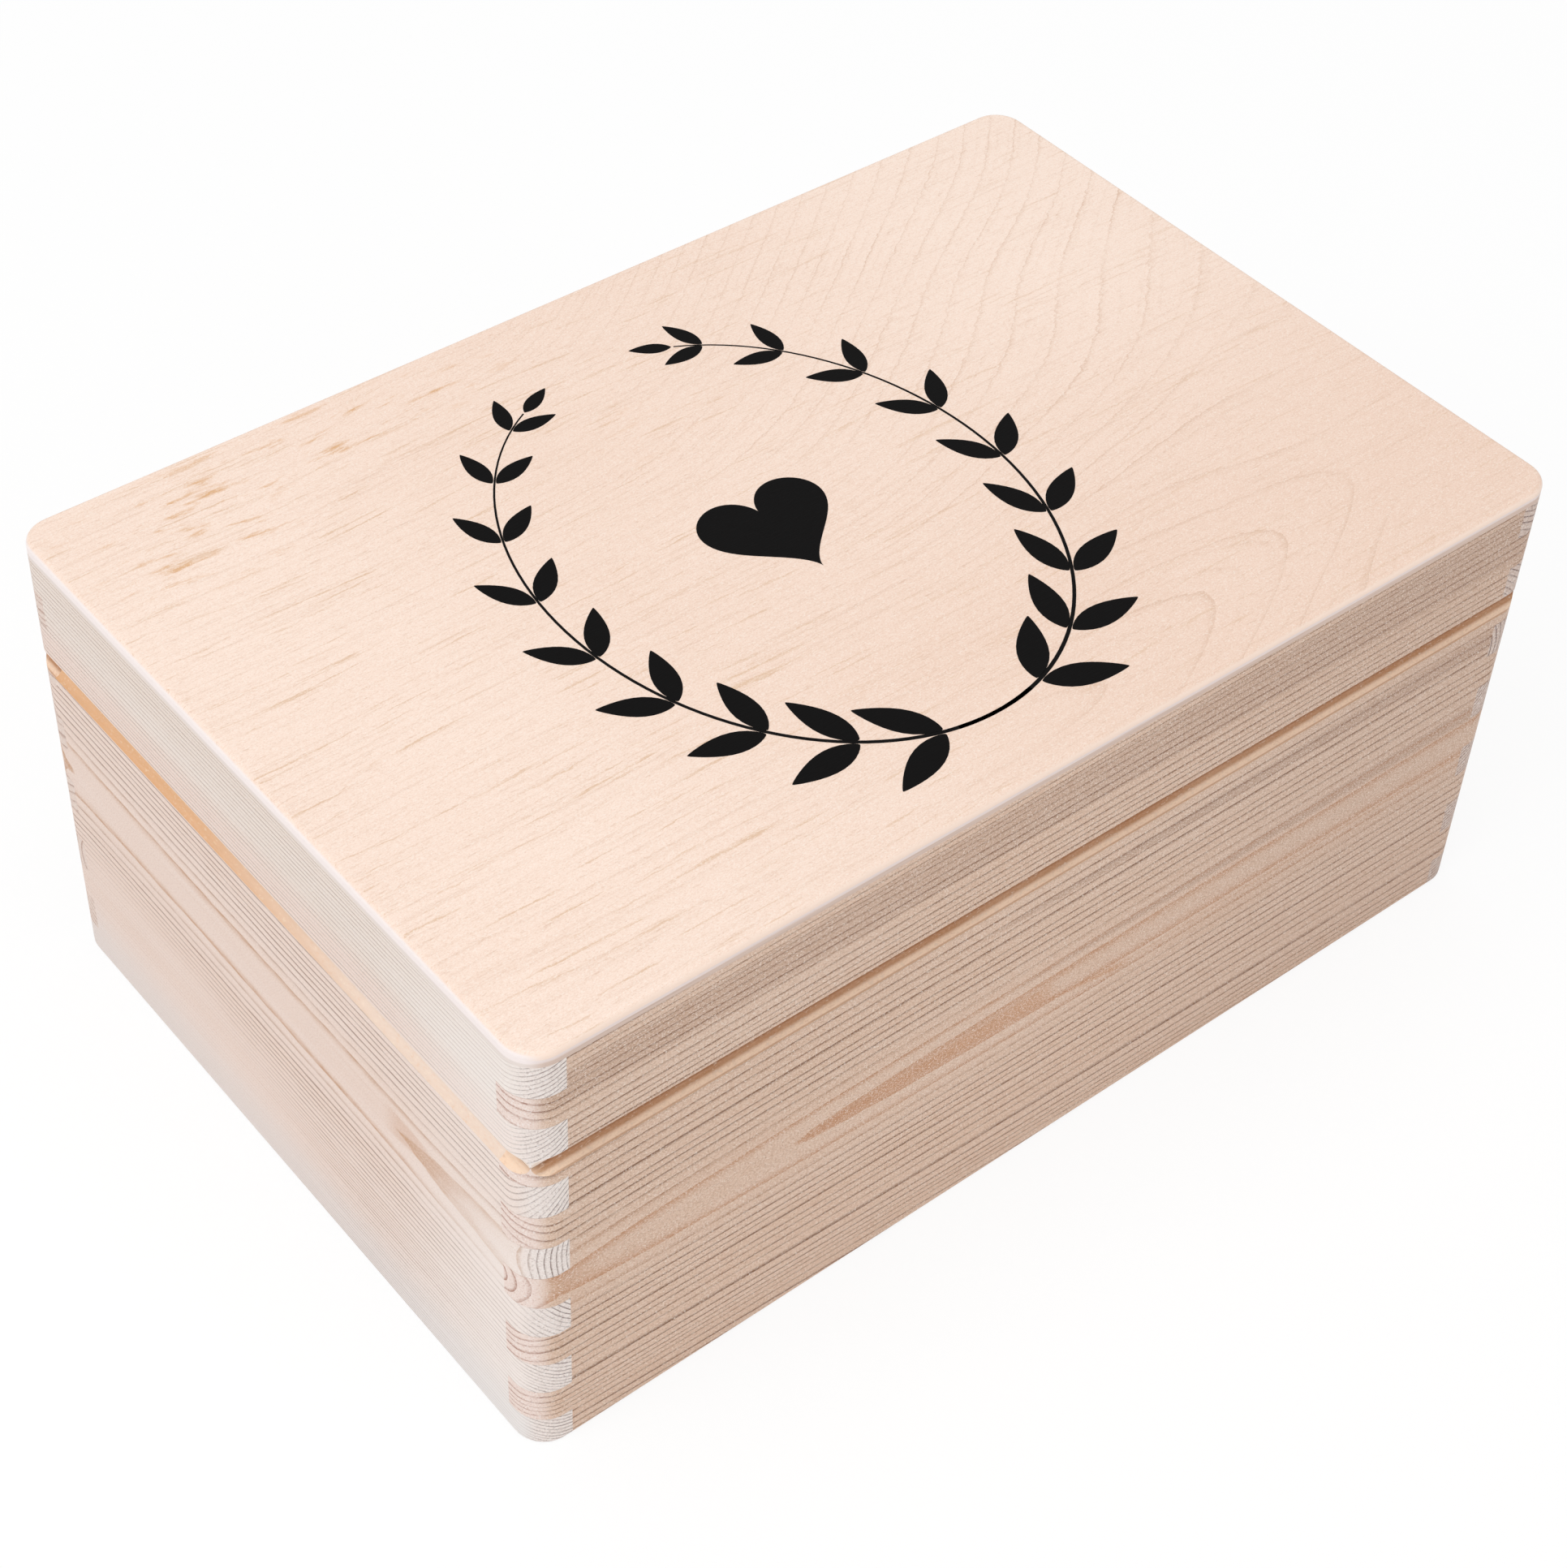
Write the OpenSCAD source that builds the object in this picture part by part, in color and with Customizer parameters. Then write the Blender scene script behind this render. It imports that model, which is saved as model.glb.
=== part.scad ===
// Hinged keepsake box: pine boards with finger-jointed corners, a plywood lid panel and base panel,
// a round grip groove along the parting line and two butt hinges on the back.
// The origin is the middle of the underside, +X runs along the front, +Y points to the back, +Z up.

/* [Carcass] */
// Length of the box along its front
box_l = 300; // [220:1:400]
// Depth of the box from front to back
box_w = 198; // [140:1:300]
// Height of the body boards, up to the parting line
body_h = 98; // [70:0.5:160]
// Thickness of the pine boards
board_t = 10; // [8:0.5:14]
// Outside radius of the upright corners
corner_r = 8; // [3:0.5:12]
// Radius that eases the lower outside edge
foot_ease_r = 1; // [0.5:0.1:2]

/* [Lid] */
// Height of the lid boards, from the parting line to the panel
lid_board_h = 31; // [26:0.5:60]
// Thickness of the plywood lid panel
lid_panel_t = 4; // [3:0.5:8]
// Radius that eases the upper edge of the lid panel
panel_ease_r = 1.5; // [0.5:0.1:2.5]
// Gap between the body's rim and the closed lid
lid_gap = 0.2; // [0.1:0.1:0.6]

/* [Finger joints] */
// Height of the lowest finger at the foot of the body
foot_finger_h = 9.3; // [6:0.1:20]
// Height of the body's other fingers, except the one at the parting line, which takes what is left
body_finger_h = 10.35; // [8:0.05:20]
// Height of the lid's fingers, except the one at the parting line, which takes what is left
lid_finger_h = 9.35; // [8:0.05:16]
// Glue gap above and below each finger
finger_play = 0.04; // [0.02:0.01:0.1]

/* [Grip groove] */
// Radius of the round groove that runs along the parting line on all four sides
groove_r = 3; // [2.5:0.1:4]
// Depth of the groove below the faces of the boards
groove_d = 2.2; // [1:0.1:2.5]

/* [Base panel] */
// Thickness of the plywood base panel
base_t = 4; // [3:0.5:6]
// How far the base panel reaches into the boards
base_reach = 5; // [3:0.5:6]
// Corner radius of the base panel
base_corner_r = 6; // [3:0.5:12]
// Gap between the base panel and its rebate
base_play = 0.1; // [0.05:0.05:0.3]

/* [Hinges] */
// Length of each hinge along the back
hinge_l = 25; // [20:1:50]
// Distance from the end of the box to the middle of the hinge
hinge_inset = 55; // [35:1:80]
// Height of one hinge leaf, from the pin's axis to its far edge
leaf_h = 14; // [13:0.5:20]
// Thickness of the hinge leaves
leaf_t = 1; // [0.8:0.1:1.5]
// Diameter of the hinge pin
pin_d = 2; // [1.6:0.1:3]
// Running gap between the pin and the knuckles, on the radius and at the ends
pin_play = 0.05; // [0.02:0.01:0.09]
// Gap between neighbouring knuckles, and between a knuckle and the other leaf
knuckle_gap = 0.3; // [0.2:0.05:0.5]
// Gap between the barrel and the back of the box
barrel_gap = 0.2; // [0.1:0.05:0.5]
// Diameter of the peened head at each end of the pin
pin_head_d = 3.2; // [3.2:0.1:4]
// Height of the peened head at each end of the pin
pin_head_h = 0.8; // [0.5:0.1:1.5]

/* [Screws] */
// Shank diameter of the hinge screws
screw_d = 2.2; // [1.8:0.1:3]
// Head diameter of the hinge screws
screw_head_d = 4; // [3.4:0.1:4.6]
// Length of the screw shank inside the board
screw_reach = 7; // [5:0.5:7]
// Length of the screw's tapered point
screw_point = 2; // [1:0.5:3]
// Distance of the screws from the far edge of the leaf
screw_margin = 3.5; // [2.8:0.1:5]
// Distance of the screws from the ends of the leaf
screw_inset = 5; // [4:0.5:7]
// Gap round the screws in the leaf and in the board
screw_play = 0.03; // [0.02:0.01:0.08]
// Length of the arms of the cross recess
recess_l = 2.4; // [1.8:0.1:2.8]
// Width of the arms of the cross recess
recess_w = 0.5; // [0.4:0.1:0.8]
// Depth of the cross recess
recess_depth = 0.7; // [0.4:0.1:0.9]

/* [Hidden] */
$fn = 64;

LEFT = -1;
RIGHT = 1;
FRONT = -1;
BACK = 1;
// First finger of the side boards, and of the front and back boards, counted towards the parting line
SIDE_FIRST = 0;
LONG_FIRST = 1;
KNUCKLES = 5;
// Diameter of the screw's point
SCREW_TIP_D = 0.5;
// How far a cutting solid runs past the face that it cuts
PAST = 1;

half_l = box_l / 2;
half_w = box_w / 2;
lid_z = body_h + lid_gap;
panel_z = lid_z + lid_board_h;

barrel_r = pin_d / 2 + pin_play + leaf_t;
leaf_y = barrel_r + barrel_gap;
pin_y = half_w + leaf_y;
pin_z = body_h + lid_gap / 2;
hinge_x = half_l - hinge_inset;
knuckle_pitch = hinge_l / KNUCKLES;
screw_x = hinge_l / 2 - screw_inset;
screw_z = leaf_h - screw_margin;
head_h = (screw_head_d - screw_d) / 2;

pine = "burlywood";
plywood = "bisque";
brass = "goldenrod";

// End view of a block, with its upper and lower edges rounded
module eased_outline(half, h, top_r, foot_r) {
    translate([-half, foot_r]) square([2 * half, h - top_r - foot_r]);
    if (top_r > 0) {
        translate([top_r - half, h / 2]) square([2 * (half - top_r), h / 2]);
        for (side = [LEFT, RIGHT]) translate([side * (half - top_r), h - top_r]) circle(top_r);
    }
    if (foot_r > 0) {
        translate([foot_r - half, 0]) square([2 * (half - foot_r), h / 2]);
        for (side = [LEFT, RIGHT]) translate([side * (half - foot_r), foot_r]) circle(foot_r);
    }
}

// Block with round upright corners, standing on z = 0, whose upper and lower edges can be eased
module round_block(l, w, h, r, top_r = 0, foot_r = 0) {
    rotate([90, 0, 90])
        translate([0, 0, r - l / 2])
            linear_extrude(l - 2 * r) eased_outline(w / 2, h, top_r, foot_r);
    rotate([90, 0, 0])
        translate([0, 0, r - w / 2])
            linear_extrude(w - 2 * r) eased_outline(l / 2, h, top_r, foot_r);
    for (x = [LEFT, RIGHT], y = [FRONT, BACK])
        translate([x * (l / 2 - r), y * (w / 2 - r), 0])
            rotate_extrude()
                intersection() {
                    eased_outline(r, h, top_r, foot_r);
                    square([r, h]);
                }
}

// Box-shaped solid between two corners given as x, y and z
module block_between(low, high) {
    translate(low) cube(high - low);
}

// Number of fingers up to height h, the lowest first_h high and the others finger_h
function finger_count(h, first_h, finger_h) = 1 + round((h - first_h) / finger_h);

// Lower edge of a numbered finger
function finger_low(number, first_h, finger_h) = number == 0 ? 0 : first_h + (number - 1) * finger_h;

// The sockets of one board at one corner, where the fingers of the board that it meets lie
module corner_sockets(x_side, y_side, h, first_h, finger_h, first) {
    reach = board_t + PAST;
    x_low = x_side > 0 ? half_l - board_t : -half_l - PAST;
    y_low = y_side > 0 ? half_w - board_t : -half_w - PAST;
    last = finger_count(h, first_h, finger_h) - 1;
    for (number = [first : 2 : last]) {
        z_low = number == 0 ? -PAST : finger_low(number, first_h, finger_h) - finger_play;
        z_high = number == last ? h + PAST : finger_low(number + 1, first_h, finger_h) + finger_play;
        block_between([x_low, y_low, z_low], [x_low + reach, y_low + reach, z_high]);
    }
}

// A front or back board that fits between the side boards' fingers, with its parting edge up
module long_board(y_side, h, first_h, finger_h) {
    y_low = y_side > 0 ? half_w - board_t : -half_w;
    difference() {
        block_between([-half_l, y_low, 0], [half_l, y_low + board_t, h]);
        for (x = [LEFT, RIGHT]) corner_sockets(x, y_side, h, first_h, finger_h, SIDE_FIRST);
    }
}

// A side board that fits between the long boards' fingers, with its parting edge up
module side_board(x_side, h, first_h, finger_h) {
    x_low = x_side > 0 ? half_l - board_t : -half_l;
    difference() {
        block_between([x_low, -half_w, 0], [x_low + board_t, half_w, h]);
        for (y = [FRONT, BACK]) corner_sockets(x_side, y, h, first_h, finger_h, LONG_FIRST);
    }
}

// The cutter of the grip groove on all four sides of boards whose parting edge is at height h
module grip_groove(h) {
    outside = groove_r - groove_d;
    for (y = [FRONT, BACK])
        translate([0, y * (half_w + outside), h + lid_gap / 2])
            rotate([0, 90, 0]) cylinder(h = box_l + 2 * PAST, r = groove_r, center = true);
    for (x = [LEFT, RIGHT])
        translate([x * (half_l + outside), 0, h + lid_gap / 2])
            rotate([90, 0, 0]) cylinder(h = box_w + 2 * PAST, r = groove_r, center = true);
}

// Trims a board, with its parting edge up, to the outside of the box and to the grip groove
module trimmed(h, foot_r = 0) {
    difference() {
        intersection() {
            children();
            round_block(box_l, box_w, h, corner_r, foot_r = foot_r);
        }
        grip_groove(h);
    }
}

// The base panel's shape, or with play added the rebate that it lies in
module base_shape(play) {
    inset = board_t - base_reach - play;
    round_block(box_l - 2 * inset, box_w - 2 * inset, base_t + play, base_corner_r + play);
}

// A body board, trimmed to the outside of the box and to the base panel's rebate
module body_board() {
    color(pine)
        difference() {
            trimmed(body_h, foot_ease_r) children();
            base_shape(base_play);
            translate([0, 0, -PAST]) base_shape(base_play);
        }
}

// A lid board, given with its parting edge up, turned over and set on the parting line
module lid_board() {
    color(pine) translate([0, 0, panel_z]) mirror([0, 0, 1]) trimmed(lid_board_h) children();
}

// A hinge screw that points along +Z with its head's face at z = 0, grown all round by play
module screw_shape(play) {
    cylinder(h = head_h, d1 = screw_head_d + 2 * play, d2 = screw_d + 2 * play);
    cylinder(h = leaf_t + screw_reach - screw_point + play, d = screw_d + 2 * play);
    translate([0, 0, leaf_t + screw_reach - screw_point + play])
        cylinder(h = screw_point, d1 = screw_d + 2 * play, d2 = SCREW_TIP_D + 2 * play);
}

// A hinge screw with its cross recess
module screw() {
    difference() {
        screw_shape(0);
        for (turn = [0, 90])
            rotate(turn) cube([recess_l, recess_w, 2 * recess_depth], center = true);
    }
}

// Children at both screws of the leaf above the pin's axis, in the hinge's own frame
module at_leaf_screws() {
    for (x = [-screw_x, screw_x])
        translate([x, leaf_t - leaf_y, screw_z]) rotate([90, 0, 0]) children();
}

// Children at the middle of the hinge pins on the given sides of the box
module at_hinges(sides = [LEFT, RIGHT]) {
    for (side = sides) translate([side * hinge_x, pin_y, pin_z]) children();
}

// Start and end of a numbered knuckle along the pin, each with half a gap left to its neighbour
function knuckle_start(number) =
    number * knuckle_pitch - hinge_l / 2 + (number > 0 ? knuckle_gap / 2 : 0);
function knuckle_end(number) =
    (number + 1) * knuckle_pitch - hinge_l / 2 - (number < KNUCKLES - 1 ? knuckle_gap / 2 : 0);

// A hinge leaf above the pin's axis, which owns every other knuckle from the first one given
module leaf(first_knuckle) {
    plate_z = barrel_r + knuckle_gap;
    difference() {
        union() {
            block_between([-hinge_l / 2, -leaf_y, plate_z], [hinge_l / 2, leaf_t - leaf_y, leaf_h]);
            for (number = [first_knuckle : 2 : KNUCKLES - 1]) {
                from = knuckle_start(number);
                to = knuckle_end(number);
                block_between([from, -leaf_y, 0], [to, leaf_t - leaf_y, plate_z + PAST]);
                translate([from, 0, 0]) rotate([0, 90, 0]) cylinder(h = to - from, r = barrel_r);
            }
        }
        translate([-hinge_l / 2 - PAST, 0, 0])
            rotate([0, 90, 0]) cylinder(h = hinge_l + 2 * PAST, d = pin_d + 2 * pin_play);
        at_leaf_screws() screw_shape(screw_play);
    }
}

module pin() {
    length = hinge_l + 2 * pin_play;
    rotate([0, 90, 0]) {
        cylinder(h = length, d = pin_d, center = true);
        for (end = [0, 180])
            rotate([end, 0, 0])
                translate([0, 0, length / 2]) cylinder(h = pin_head_h, d1 = pin_head_d, d2 = pin_d);
    }
}

module body_leaf(side) {
    color(brass) at_hinges([side]) mirror([0, 0, 1]) leaf(0);
}

module lid_leaf(side) {
    color(brass) at_hinges([side]) leaf(1);
}

module hinge_pin(side) {
    color(brass) at_hinges([side]) pin();
}

module body_hinge_screws() {
    color(brass) at_hinges() mirror([0, 0, 1]) at_leaf_screws() screw();
}

module lid_hinge_screws() {
    color(brass) at_hinges() at_leaf_screws() screw();
}

module body_front() {
    body_board() long_board(FRONT, body_h, foot_finger_h, body_finger_h);
}

module body_back() {
    color(pine)
        difference() {
            body_board() long_board(BACK, body_h, foot_finger_h, body_finger_h);
            at_hinges() mirror([0, 0, 1]) at_leaf_screws() screw_shape(screw_play);
        }
}

module body_side(x_side) {
    body_board() side_board(x_side, body_h, foot_finger_h, body_finger_h);
}

module base_panel() {
    color(plywood) base_shape(0);
}

module lid_front() {
    lid_board() long_board(FRONT, lid_board_h, lid_finger_h, lid_finger_h);
}

module lid_back() {
    color(pine)
        difference() {
            lid_board() long_board(BACK, lid_board_h, lid_finger_h, lid_finger_h);
            at_hinges() at_leaf_screws() screw_shape(screw_play);
        }
}

module lid_side(x_side) {
    lid_board() side_board(x_side, lid_board_h, lid_finger_h, lid_finger_h);
}

module lid_panel() {
    color(plywood)
        translate([0, 0, panel_z]) round_block(box_l, box_w, lid_panel_t, corner_r, top_r = panel_ease_r);
}

body_front();
body_back();
body_side(LEFT);  // body_left
body_side(RIGHT);  // body_right
base_panel();
lid_front();
lid_back();
lid_side(LEFT);  // lid_left
lid_side(RIGHT);  // lid_right
lid_panel();
body_leaf(LEFT);  // left_hinge_body_leaf
lid_leaf(LEFT);  // left_hinge_lid_leaf
hinge_pin(LEFT);  // left_hinge_pin
body_leaf(RIGHT);  // right_hinge_body_leaf
lid_leaf(RIGHT);  // right_hinge_lid_leaf
hinge_pin(RIGHT);  // right_hinge_pin
body_hinge_screws();
lid_hinge_screws();
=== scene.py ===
"""A keepsake box of finger-jointed pine with a plywood lid panel, dressed for its picture."""

import logging
import math
from dataclasses import dataclass, field, replace
from enum import Enum

import bmesh
import bpy
from mathutils import Euler, Matrix, Vector

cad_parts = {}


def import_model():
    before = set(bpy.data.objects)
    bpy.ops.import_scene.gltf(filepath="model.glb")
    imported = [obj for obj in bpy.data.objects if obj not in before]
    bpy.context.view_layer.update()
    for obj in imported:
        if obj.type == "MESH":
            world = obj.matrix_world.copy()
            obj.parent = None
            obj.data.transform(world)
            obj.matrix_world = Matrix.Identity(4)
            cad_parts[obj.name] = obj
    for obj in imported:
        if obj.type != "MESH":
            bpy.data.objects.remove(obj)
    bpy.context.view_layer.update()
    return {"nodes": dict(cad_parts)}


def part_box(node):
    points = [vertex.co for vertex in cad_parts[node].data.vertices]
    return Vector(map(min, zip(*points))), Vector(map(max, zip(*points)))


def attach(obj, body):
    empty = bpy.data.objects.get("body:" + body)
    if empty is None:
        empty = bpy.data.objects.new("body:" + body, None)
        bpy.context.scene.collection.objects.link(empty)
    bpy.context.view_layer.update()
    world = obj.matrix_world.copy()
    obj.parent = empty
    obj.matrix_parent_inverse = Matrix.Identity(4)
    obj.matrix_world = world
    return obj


log = logging.getLogger("keepsake_box")

MM = 0.001
PHOTO_HEIGHT = 1932
SENSOR_MM = 36.0
WHITE = (1.0, 1.0, 1.0, 1.0)
# The box's outer size and its parting line, in millimetres
HALF_LENGTH = 150.0
HALF_WIDTH = 99.0
PARTING_Z = 98.1
# The noise node's middle value, and the gain that brings most of it between -1 and 1
NOISE_MIDDLE = 0.5
NOISE_GAIN = 4.0

Colour = tuple[float, float, float]
Triple = tuple[float, float, float]


class Grain(Enum):
    """The way a board's grain runs in the box's frame."""

    ALONG_X = 0
    ALONG_Y = 1


class Side(Enum):
    """Which way a board's outer face looks along its thin direction."""

    LOW = -1
    HIGH = 1


@dataclass(frozen=True)
class Ramp:
    """A smooth climb from 0 at one value to an amount at another, which may lie below the first."""

    start: float
    full: float
    amount: float = 1.0


@dataclass(frozen=True)
class Noise:
    """Soft noise: how fast it changes each way, where it starts, how fine it is and how far it swings."""

    rate: Triple
    start: Triple = (0.0, 0.0, 0.0)
    detail: float = 1.0
    rough: float = 0.5
    swing: float = 1.0


def linear(colour: Colour) -> tuple[float, float, float, float]:
    """Turns a colour of 0 to 255 per channel into the shader's linear values.

    Args:
        colour: Red, green and blue from 0 to 255, as a picture shows them.

    Returns:
        Linear red, green and blue with an alpha of 1.
    """
    values = [c / 255.0 for c in colour]
    bent = [v / 12.92 if v <= 0.04045 else ((v + 0.055) / 1.055) ** 2.4 for v in values]
    return (bent[0], bent[1], bent[2], 1.0)


class Shade:
    """A number that changes over a surface, ready for sums written in Python."""

    def __init__(self, bench: "Bench", socket: bpy.types.NodeSocket) -> None:
        """Keeps the socket and the bench that adds the Math nodes.

        Args:
            bench: The material's bench.
            socket: The output socket that carries the number.
        """
        self.bench = bench
        self.socket = socket

    def __add__(self, other: "Shade | float") -> "Shade":
        """Returns the sum."""
        return self.bench.sum_of("ADD", self, other)

    def __sub__(self, other: "Shade | float") -> "Shade":
        """Returns the difference."""
        return self.bench.sum_of("SUBTRACT", self, other)

    def __rsub__(self, other: float) -> "Shade":
        """Returns the difference from a plain number."""
        return self.bench.sum_of("SUBTRACT", other, self)

    def __mul__(self, other: "Shade | float") -> "Shade":
        """Returns the product."""
        return self.bench.sum_of("MULTIPLY", self, other)

    def __truediv__(self, other: "Shade | float") -> "Shade":
        """Returns the quotient."""
        return self.bench.sum_of("DIVIDE", self, other)

    def __pow__(self, other: float) -> "Shade":
        """Returns the power."""
        return self.bench.sum_of("POWER", self, other)

    def root(self) -> "Shade":
        """Returns the square root."""
        return self.bench.sum_of("SQRT", self)

    def size(self) -> "Shade":
        """Returns the value without its sign."""
        return self.bench.sum_of("ABSOLUTE", self)

    def fraction(self) -> "Shade":
        """Returns the part after the point."""
        return self.bench.sum_of("FRACT", self)

    def power_of_e(self) -> "Shade":
        """Returns e to the power of the value."""
        return self.bench.sum_of("EXPONENT", self)

    def whole(self) -> "Shade":
        """Returns the whole number below."""
        return self.bench.sum_of("FLOOR", self)

    def least(self, other: "Shade | float") -> "Shade":
        """Returns the smaller of the two."""
        return self.bench.sum_of("MINIMUM", self, other)

    def most(self, other: "Shade | float") -> "Shade":
        """Returns the larger of the two."""
        return self.bench.sum_of("MAXIMUM", self, other)

    def ramp(self, ramp: Ramp) -> "Shade":
        """Returns where the value stands on a ramp, from 0 to the ramp's amount."""
        upward = ramp.full > ramp.start
        low, high = (ramp.start, ramp.full) if upward else (ramp.full, ramp.start)
        at_low, at_high = (0.0, ramp.amount) if upward else (ramp.amount, 0.0)
        node = self.bench.node(
            "ShaderNodeMapRange",
            {"interpolation_type": "SMOOTHSTEP"},
            {"Value": self, "From Min": low, "From Max": high, "To Min": at_low, "To Max": at_high},
        )
        return Shade(self.bench, node.outputs["Result"])


class Bench:
    """The node tree of a material or of the world, with short ways to add nodes to it."""

    def __init__(self, owner: bpy.types.Material | bpy.types.World) -> None:
        """Empties the tree down to an output.

        Args:
            owner: The material or the world.
        """
        owner.use_nodes = True
        self.owner = owner
        self.tree = owner.node_tree
        self.tree.nodes.clear()
        kind = "World" if isinstance(owner, bpy.types.World) else "Material"
        self.output = self.tree.nodes.new(f"ShaderNodeOutput{kind}")

    def node(self, kind: str, settings: dict | None = None, inputs: dict | None = None) -> bpy.types.Node:
        """Adds a node, sets its settings first and then its sockets.

        Args:
            kind: The node's type.
            settings: Its properties by name.
            inputs: Values, shades or sockets by the socket's name or number.

        Returns:
            The new node.
        """
        made = self.tree.nodes.new(kind)
        for key, value in (settings or {}).items():
            setattr(made, key, value)
        for key, value in (inputs or {}).items():
            self.feed(made.inputs[key], value)
        return made

    def feed(self, socket: bpy.types.NodeSocket, value: object) -> None:
        """Links a shade or a socket, or sets a plain value.

        Args:
            socket: The input socket.
            value: What goes into it.
        """
        if isinstance(value, Shade):
            self.tree.links.new(value.socket, socket)
        elif isinstance(value, bpy.types.NodeSocket):
            self.tree.links.new(value, socket)
        else:
            socket.default_value = value

    def sum_of(self, operation: str, *values: "Shade | float") -> Shade:
        """Adds a Math node.

        Args:
            operation: The node's operation.
            values: Its one or two values.

        Returns:
            The result.
        """
        made = self.node("ShaderNodeMath", {"operation": operation}, dict(enumerate(values)))
        return Shade(self, made.outputs[0])

    def places(self) -> tuple[Shade, Shade, Shade]:
        """Returns the surface's X, Y and Z in the box's frame, in millimetres."""
        coords = self.node("ShaderNodeTexCoord")
        scaled = self.node(
            "ShaderNodeVectorMath",
            {"operation": "SCALE"},
            {0: coords.outputs["Object"], "Scale": 1.0 / MM},
        )
        parts = self.node("ShaderNodeSeparateXYZ", None, {0: scaled.outputs[0]})
        return tuple(Shade(self, parts.outputs[i]) for i in range(3))

    def cloud(self, noise: Noise, *place: Shade) -> Shade:
        """Returns noise around 0, mostly within its swing.

        Args:
            noise: The noise's make.
            place: The one to three numbers that the noise reads.

        Returns:
            The noise.
        """
        where = self.node("ShaderNodeCombineXYZ", None, dict(enumerate(place)))
        spot = self.node(
            "ShaderNodeVectorMath",
            {"operation": "MULTIPLY_ADD"},
            {0: where.outputs[0], 1: noise.rate, 2: noise.start},
        )
        made = self.node(
            "ShaderNodeTexNoise",
            {"noise_dimensions": "3D"},
            {"Vector": spot.outputs[0], "Scale": 1.0, "Detail": noise.detail, "Roughness": noise.rough},
        )
        return (Shade(self, made.outputs["Fac"]) - NOISE_MIDDLE) * (NOISE_GAIN * noise.swing)

    def blend(self, amount: Shade | float, first: object, second: object) -> bpy.types.NodeSocket:
        """Mixes two colours.

        Args:
            amount: How much of the second colour shows.
            first: A colour of 0 to 255 or a socket.
            second: A colour of 0 to 255 or a socket.

        Returns:
            The mixed colour's socket.
        """
        made = self.node("ShaderNodeMix", {"data_type": "RGBA", "clamp_factor": True}, {"Factor": amount})
        for name, colour in (("A", first), ("B", second)):
            socket = [s for s in made.inputs if s.name == name and s.type == "RGBA"][0]
            self.feed(socket, linear(colour) if isinstance(colour, tuple) else colour)
        return [s for s in made.outputs if s.type == "RGBA"][0]

    def layers(self, colour: object, *tops: tuple[Shade, object]) -> bpy.types.NodeSocket:
        """Mixes further colours over a first one, each by its own amount, in their order."""
        for amount, top in tops:
            colour = self.blend(amount, colour, top)
        return colour

    def facing(self, axis: int) -> Shade:
        """Returns how squarely the surface looks along an axis of the box, from 0 to 1."""
        coords = self.node("ShaderNodeTexCoord")
        parts = self.node("ShaderNodeSeparateXYZ", None, {0: coords.outputs["Normal"]})
        return Shade(self, parts.outputs[axis]).size()

    def seen(self) -> Shade:
        """Returns 1 for rays that a camera, a mirror or glass sees by, and 0 for light."""
        path = self.node("ShaderNodeLightPath")
        camera, gloss, glass = (
            Shade(self, path.outputs[f"Is {kind} Ray"]) for kind in ("Camera", "Glossy", "Transmission")
        )
        return camera.most(gloss).most(glass)

    def show(self, shader: bpy.types.Node) -> None:
        """Links a shader to the tree's output."""
        self.tree.links.new(shader.outputs[0], self.output.inputs[0])

    def surface(
        self, colour: bpy.types.NodeSocket, roughness: Shade | float, bump: Shade, bump_mm: float, gloss: float,
        metallic: float = 0.0,
    ) -> bpy.types.Material:
        """Finishes the material with a principled surface.

        Args:
            colour: The colour's socket.
            roughness: How matt the surface is.
            bump: The fine relief's height.
            bump_mm: The depth that a height of 1 stands for.
            gloss: The specular level.
            metallic: 1 for bare metal.

        Returns:
            The finished material.
        """
        heights = {"Strength": 1.0, "Distance": bump_mm * MM, "Height": bump}
        relief = self.node("ShaderNodeBump", None, heights)
        shader = self.node(
            "ShaderNodeBsdfPrincipled",
            None,
            {
                "Base Color": colour,
                "Roughness": roughness,
                "Metallic": metallic,
                "Specular IOR Level": gloss,
                "Normal": relief.outputs[0],
            },
        )
        self.show(shader)
        return self.owner


@dataclass(frozen=True)
class EndDrift:
    """How the pith comes nearer to a board's face, or leaves it, towards one end of the plank."""

    rise: float
    reach: float

    def at(self, inward: Shade) -> Shade:
        """Returns the drift at a distance from the end, counted into the board."""
        return (inward * (-1.0 / self.reach)).power_of_e() * self.rise


@dataclass(frozen=True)
class Spot:
    """An oval place: its middle and its half lengths, in millimetres."""

    along: float
    height: float
    reach_along: float
    reach_height: float

    def distance(self, along: Shade, height: Shade) -> Shade:
        """Returns how far out a point lies, 1 at the oval's edge."""
        out_along = (along - self.along) / self.reach_along
        out_height = (height - self.height) / self.reach_height
        return (out_along * out_along + out_height * out_height).root()


NO_DRIFT = EndDrift(0.0, 50.0)
NOWHERE = Spot(0.0, -500.0, 10.0, 10.0)

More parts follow.
